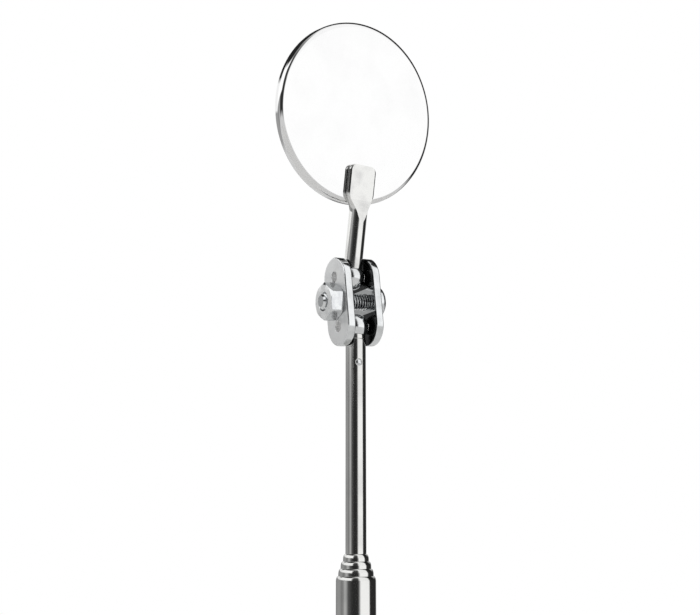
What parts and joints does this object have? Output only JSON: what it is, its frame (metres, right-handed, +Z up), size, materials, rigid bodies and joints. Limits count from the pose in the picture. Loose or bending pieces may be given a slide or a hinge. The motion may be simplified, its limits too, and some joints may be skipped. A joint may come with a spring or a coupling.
{
  "type": "telescopic inspection mirror",
  "caption": "Round mirror in a pressed metal case on a flattened stem, carried by a two-ball clamp joint on a telescopic tube handle.",
  "frame": {"origin": "centre of the flat bottom face of the handle's end plug", "axes": "+Z up along the tubes towards the mirror; X across them, the clamp screw's head on +X; the case's back faces -Y"},
  "size_m": [0.0386, 0.015, 0.2397],
  "materials": {
    "stainless": "polished stainless steel",
    "chrome": "bright chrome plate",
    "plated_steel": "bright zinc or nickel plate",
    "brass": "turned brass",
    "bronze": "rolled phosphor bronze",
    "card": "grey board",
    "mirror": "silvered glass"
  },
  "bodies": {
    "handle": {"handle_tube": "stainless", "end_plug": "chrome"},
    "spring_1": {"spring_leaf_1": "bronze"},
    "section_1": {"tube_section_1": "stainless", "base_bush_1": "brass"},
    "spring_2": {"spring_leaf_2": "bronze"},
    "section_2": {"tube_section_2": "stainless", "base_bush_2": "brass"},
    "spring_3": {"spring_leaf_3": "bronze"},
    "section_3": {"tube_section_3": "stainless", "base_bush_3": "brass"},
    "spring_4": {"spring_leaf_4": "bronze"},
    "section_4": {"tube_section_4": "stainless", "base_bush_4": "brass", "ball_stud": "stainless", "stud_pin": "plated_steel"},
    "stud_ball": {"lower_ball": "chrome"},
    "clamp": {"clamp_plate_head_side": "chrome", "clamp_plate_nut_side": "chrome", "clamp_screw": "plated_steel"},
    "nut": {"clamp_nut": "plated_steel"},
    "stem_ball": {"upper_ball": "chrome"},
    "mirror": {"mirror_stem": "stainless", "mirror_case": "chrome", "backing_pad": "card", "mirror_glass": "mirror"}
  },
  "joints": [
    {"name": "section_1_slide", "type": "slide", "parent": "handle", "child": "spring_1", "axis": [0, 0, 1], "range_m": [0, 0.1131]},
    {"name": "section_1_swivel", "type": "hinge", "parent": "spring_1", "child": "section_1", "pos_m": [0, 0, 0.006], "axis": [0, 0, 1], "continuous": true},
    {"name": "section_2_slide", "type": "slide", "parent": "section_1", "child": "spring_2", "axis": [0, 0, 1], "range_m": [0, 0.1095]},
    {"name": "section_2_swivel", "type": "hinge", "parent": "spring_2", "child": "section_2", "pos_m": [0, 0, 0.011], "axis": [0, 0, 1], "continuous": true},
    {"name": "section_3_slide", "type": "slide", "parent": "section_2", "child": "spring_3", "axis": [0, 0, 1], "range_m": [0, 0.1059]},
    {"name": "section_3_swivel", "type": "hinge", "parent": "spring_3", "child": "section_3", "pos_m": [0, 0, 0.016], "axis": [0, 0, 1], "continuous": true},
    {"name": "section_4_slide", "type": "slide", "parent": "section_3", "child": "spring_4", "axis": [0, 0, 1], "range_m": [-0.0414, 0.0609]},
    {"name": "section_4_swivel", "type": "hinge", "parent": "spring_4", "child": "section_4", "pos_m": [0, 0, 0.0624], "axis": [0, 0, 1], "continuous": true},
    {"name": "stud_ball_spin", "type": "hinge", "parent": "section_4", "child": "stud_ball", "pos_m": [0, 0, 0.17569], "axis": [0, 0, 1], "continuous": true},
    {"name": "clamp_swing", "type": "hinge", "parent": "stud_ball", "child": "clamp", "pos_m": [0, 0, 0.17569], "axis": [0.9962, 0, 0.0872], "range_deg": [-74, 75]},
    {"name": "stem_swing", "type": "hinge", "parent": "clamp", "child": "stem_ball", "pos_m": [-0.00092, 0.00007, 0.18615], "axis": [0.9962, 0, 0.0872], "range_deg": [-88, 65]},
    {"name": "stem_spin", "type": "hinge", "parent": "stem_ball", "child": "mirror", "pos_m": [-0.00092, 0.00007, 0.18615], "axis": [0, -0.2011, 0.9796], "continuous": true},
    {"name": "nut_turn", "type": "hinge", "parent": "clamp", "child": "nut", "pos_m": [-0.00046, 0.00004, 0.18092], "axis": [0.9962, 0, 0.0872], "range_deg": [-90, 90]}
  ]
}
